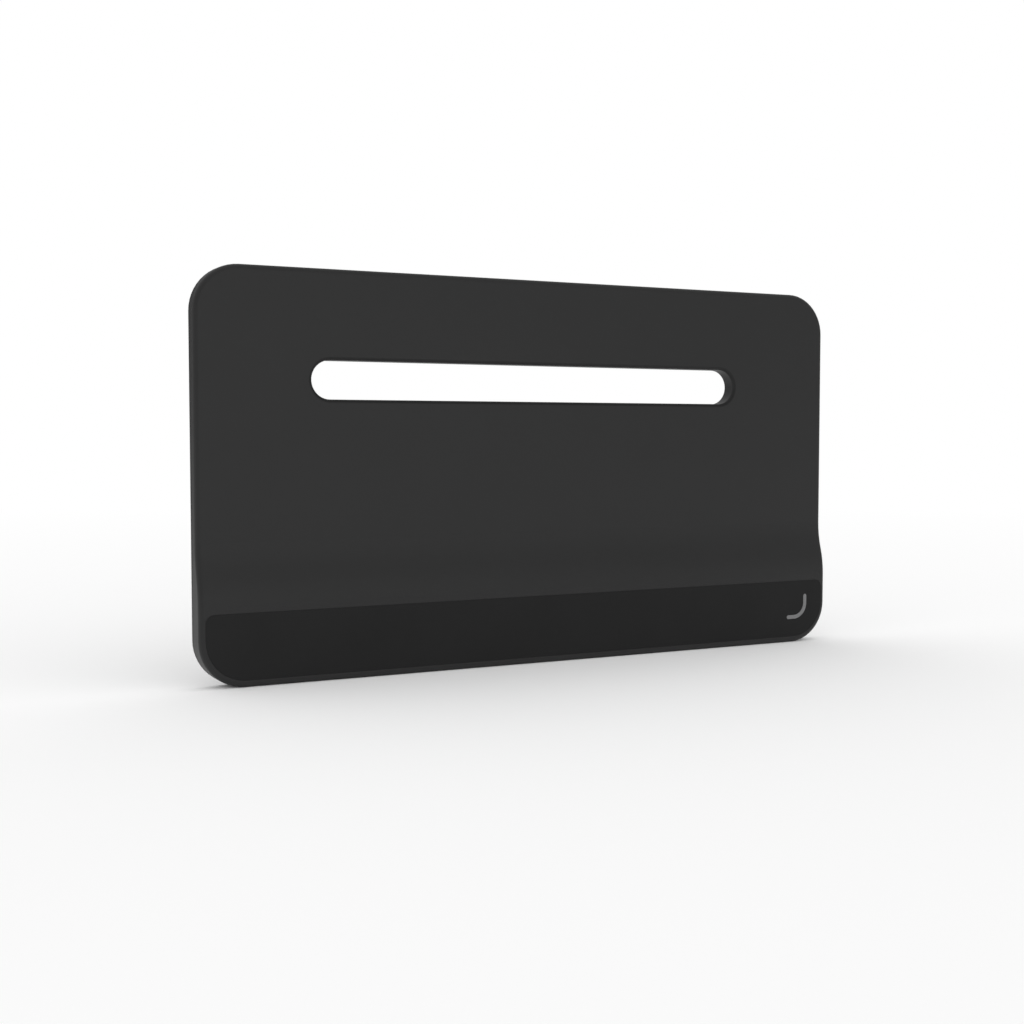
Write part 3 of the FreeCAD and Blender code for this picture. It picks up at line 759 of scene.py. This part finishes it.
# %% Nut
SPARE = 1.0 * MM
NUT_SIDES = 6
NUT_CHAMFER = 0.45 * MM
NUT_GAP = 0.02 * MM
nut_low, nut_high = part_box("jack_nut")
nut_corner = (nut_high[0] - nut_low[0]) / 2
nut_flat = (nut_high[2] - nut_low[2]) / 2
nut_bore = BARREL_RADIUS + NUT_GAP
nut_rim = nut_flat - BEVEL
nut_slope = NUT_CHAMFER / (nut_corner - nut_rim)
nut_outside = nut_corner + SPARE
bar_length = 4 * (nut_high[1] - nut_low[1])
ring = turn("nut_ring", [
    (nut_bore + 2 * BEVEL, nut_low[1]), (nut_outside, nut_low[1]),
    (nut_outside, nut_high[1] - nut_slope * (nut_outside - nut_rim)), (nut_rim, nut_high[1]),
    (nut_bore + 3 * BEVEL, nut_high[1]), (nut_bore, nut_high[1] - 3 * BEVEL),
    (nut_bore, nut_low[1] + 2 * BEVEL),
])
deselect()
bpy.ops.mesh.primitive_cylinder_add(vertices=NUT_SIDES, radius=nut_corner, depth=bar_length,
                                    rotation=(math.pi / 2, math.pi / NUT_SIDES, 0))
hexagon = bpy.context.object
hexagon.name = hexagon.data.name = "jack_hex_nut"
place(hexagon, 0, nut_low[1], 0)
carve(hexagon, "INTERSECT", ring)
place(hexagon, 0, 0, jack_z)
fit(hexagon, nickel, "jack_nut")

# %% [markdown]
# ## Threaded jack
#
# The plug's nut screws onto this barrel, so it has a real thread of 32 turns to the inch. A helix
# that is drawn as rings looks wrong where it runs out, so the thread is one V-shaped step that a
# Screw modifier winds up. It is wound too long and closed at both ends. What it then shares with a
# turned blank is the barrel: the blank brings the square ends, the run-out groove and the
# chamfered nose.

# %% Thread section
PITCH = 25.4 / 32 * MM
THREAD_DEPTH = 0.46 * MM
CREST = PITCH / 8
SPARE_TURNS = 2
COVER_THICKNESS = 1.6 * MM
barrel_root = BARREL_RADIUS - THREAD_DEPTH
barrel_start = washer_low[1] - COVER_THICKNESS
barrel_end = jack_high[1]
thread_start = barrel_start - SPARE_TURNS * PITCH
flank = (PITCH - 2 * CREST) / 2
barrel = draw_section("jack_barrel", [
    (barrel_root, thread_start), (barrel_root, thread_start + CREST),
    (BARREL_RADIUS, thread_start + CREST + flank), (BARREL_RADIUS, thread_start + 2 * CREST + flank),
    (barrel_root, thread_start + PITCH),
])
print(f"one turn of thread, {PITCH / MM:.3f} mm long")

# %% Winding
SCREW_STEPS = 48
thread_turns = math.ceil((barrel_end - barrel_start) / PITCH) + 2 * SPARE_TURNS
pick(barrel)
winding = barrel.modifiers.new("winding", "SCREW")
winding.axis = "Y"
winding.angle = 2 * math.pi
winding.screw_offset = PITCH
winding.iterations = thread_turns
winding.steps = winding.render_steps = SCREW_STEPS
winding.use_merge_vertices = True
winding.merge_threshold = WELD
bpy.ops.object.modifier_apply(modifier=winding.name)
bpy.ops.object.mode_set(mode="EDIT")
weld()
bpy.ops.mesh.fill_holes(sides=0)
weld()
bpy.ops.object.mode_set(mode="OBJECT")
print(f"thread of {thread_turns} turns, {len(barrel.data.polygons)} faces, {open_edges(barrel)} open edges")

# %% Blank
NOSE = 0.55 * MM
GROOVE_MARGIN = 0.2 * MM
GROOVE_WIDTH = 0.6 * MM
ROOT_REACH = 0.5 * MM
blank_outside = BARREL_RADIUS + SPARE
blank_start = barrel_start - ROOT_REACH
groove_start = nut_high[1] + GROOVE_MARGIN
groove_end = groove_start + GROOVE_WIDTH
blank = turn("jack_blank", [
    (0, blank_start), (blank_outside, blank_start), (blank_outside, groove_start),
    (barrel_root, groove_start), (barrel_root, groove_end), (blank_outside, groove_end),
    (blank_outside, barrel_end - NOSE - SPARE), (BARREL_RADIUS - NOSE, barrel_end), (0, barrel_end),
], closed=False)
carve(barrel, "INTERSECT", blank)
print(f"barrel: {len(barrel.data.polygons)} faces, {open_edges(barrel)} open edges")

# %% [markdown]
# ## Flange and legs
#
# Inside the cover the barrel grows out of a square flange, and four legs at its corners are
# soldered into the board. Neither is round, so neither can be turned, and each starts as a cube
# that is shaped in edit mode: the flange gets bevelled corners and a leg a narrower tip. When all
# of it is one metal, the bore is drilled through.

# %% Flange
FLANGE_CORNER = 0.6 * MM
FLANGE_SEGMENTS = 3
flange_side = jack_high[0] - jack_low[0]
flange_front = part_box("amplifier_board")[1][1]
flange_rear = barrel_start
flange_middle = (flange_front + flange_rear) / 2
flange_depth = flange_rear - flange_front
deselect()
bpy.ops.mesh.primitive_cube_add(size=1, scale=(flange_side, flange_depth, flange_side))
flange = bpy.context.object
place(flange, 0, flange_middle, 0)
bpy.ops.object.mode_set(mode="EDIT")
bpy.ops.mesh.select_mode(type="EDGE")
bpy.ops.mesh.select_all(action="DESELECT")
bpy.ops.object.mode_set(mode="OBJECT")
for edge in flange.data.edges:
    first, second = (flange.data.vertices[number].co for number in edge.vertices)
    edge.select = abs(first.y - second.y) > flange_depth / 2
bpy.ops.object.mode_set(mode="EDIT")
bpy.ops.mesh.bevel(offset=FLANGE_CORNER, segments=FLANGE_SEGMENTS, affect="EDGES")
bpy.ops.object.mode_set(mode="OBJECT")
carve(barrel, "UNION", flange)
print(f"flange {flange_side / MM:.1f} mm square, {open_edges(barrel)} open edges")

# %% Face picker
FACING = 0.9


def choose(piece, axis, way):
    """Goes into edit mode with the faces selected that face one way along an axis, 0 for X to 2 for Z."""
    bpy.ops.object.mode_set(mode="EDIT")
    bpy.ops.mesh.select_mode(type="FACE")
    bpy.ops.mesh.select_all(action="DESELECT")
    bpy.ops.object.mode_set(mode="OBJECT")
    for face in piece.data.polygons:
        face.select = way * face.normal[axis] > FACING
    bpy.ops.object.mode_set(mode="EDIT")


# %% Legs
LEG_WIDTH = 1.1 * MM
LEG_INSET = 1.5 * MM
LEG_POINT = 0.4 * MM
LEG_TIP = 0.6
leg_middle = flange_side / 2 - LEG_INSET
leg_front = jack_low[1] + LEG_POINT
leg_rear = flange_middle
deselect()
bpy.ops.mesh.primitive_cube_add(size=1, scale=(LEG_WIDTH, leg_rear - leg_front, LEG_WIDTH))
leg = bpy.context.object
place(leg, 0, (leg_rear + leg_front) / 2, 0)
choose(leg, 1, -1)
bpy.ops.mesh.extrude_region_move(TRANSFORM_OT_translate={"value": (0, -LEG_POINT, 0)})
bpy.ops.transform.resize(value=(LEG_TIP, 1, LEG_TIP), center_override=(0, jack_low[1], 0))
bpy.ops.object.mode_set(mode="OBJECT")
for x, z in ((-1, -1), (1, -1), (-1, 1), (1, 1)):
    corner_leg = copied(leg)
    place(corner_leg, x * leg_middle, 0, z * leg_middle)
    carve(barrel, "UNION", corner_leg)
bpy.data.objects.remove(leg)
print(f"four legs, {open_edges(barrel)} open edges")

# %% Bore
BORE_RADIUS = 3.1 * MM
bore_start = jack_low[1] - SPARE
bore = turn("jack_bore", [
    (0, bore_start), (BORE_RADIUS, bore_start), (BORE_RADIUS, barrel_end - BEVEL),
    (BORE_RADIUS + 2 * BEVEL, barrel_end + BEVEL), (0, barrel_end + BEVEL),
], closed=False)
carve(barrel, "DIFFERENCE", bore)
place(barrel, 0, 0, jack_z)
barrel.name = barrel.data.name = "jack_threaded"
fit(barrel, nickel, "jack_body")

# %% [markdown]
# ## Cover screws
#
# Four small countersunk screws hold the cover. The driver's recess is a cross that narrows as it
# goes down. A cube with its four sides extruded makes the cross, its lower faces are drawn in, and
# it is cut from one turned screw. That screw is then copied to the four places, each one turned a
# little differently, as screws end up.

# %% One screw
HEAD_RADIUS = 1.9 * MM
SHANK_RADIUS = 1.0 * MM
screw_low, screw_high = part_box("cover_screws")
head, tip = screw_high[1], screw_low[1]
screw = turn("cover_screw", [
    (0, tip), (SHANK_RADIUS - 3 * BEVEL, tip), (SHANK_RADIUS, tip + 4 * BEVEL),
    (SHANK_RADIUS, head - (HEAD_RADIUS - SHANK_RADIUS)), (HEAD_RADIUS - BEVEL / 2, head - BEVEL),
    (HEAD_RADIUS - BEVEL / 2, head - BEVEL / 2), (HEAD_RADIUS - 2 * BEVEL, head), (0, head),
], closed=False)
print(f"turned screw: {len(screw.data.polygons)} faces, {open_edges(screw)} open edges")

# %% Cross recess
RECESS_WIDTH = 0.5 * MM
RECESS_ARM = 0.85 * MM
RECESS_DEPTH = 0.9 * MM
RECESS_TAPER = 0.5
deselect()
bpy.ops.mesh.primitive_cube_add(size=1, scale=(RECESS_WIDTH, 2 * RECESS_DEPTH, RECESS_WIDTH))
cross = bpy.context.object
place(cross, 0, head, 0)
for axis, way in ((0, -1), (0, 1), (2, -1), (2, 1)):
    choose(cross, axis, way)
    arm = [0, 0, 0]
    arm[axis] = way * RECESS_ARM
    bpy.ops.mesh.extrude_region_move(TRANSFORM_OT_translate={"value": arm})
    bpy.ops.object.mode_set(mode="OBJECT")
choose(cross, 1, -1)
bpy.ops.transform.resize(value=(RECESS_TAPER, 1, RECESS_TAPER), center_override=(0, head - RECESS_DEPTH, 0))
bpy.ops.object.mode_set(mode="OBJECT")
carve(screw, "DIFFERENCE", cross)
print(f"screw with its recess: {len(screw.data.polygons)} faces, {open_edges(screw)} open edges")

# %% Four screws
FOOT_SCREW_X = 56 * MM
panel_x = screw_high[0] - HEAD_RADIUS
panel_z = screw_high[2] - HEAD_RADIUS
foot_z = screw_low[2] + HEAD_RADIUS
# Each screw's X and Z, and how far its recess is turned, in degrees
screw_places = (
    (-panel_x, panel_z, 12),
    (panel_x, panel_z, 47),
    (-FOOT_SCREW_X, foot_z, 71),
    (FOOT_SCREW_X, foot_z, 28),
)
placed_screws = []
for x, z, angle in screw_places:
    placed_screw = copied(screw)
    placed_screw.rotation_euler[1] = math.radians(angle)
    place(placed_screw, x, 0, z)
    placed_screws.append(placed_screw)
bpy.data.objects.remove(screw)
pick(placed_screws[0])
for placed_screw in placed_screws:
    placed_screw.select_set(True)
bpy.ops.object.join()
screws = bpy.context.object
screws.name = screws.data.name = "cover_screw_set"
fit(screws, black_zinc, "cover_screws")
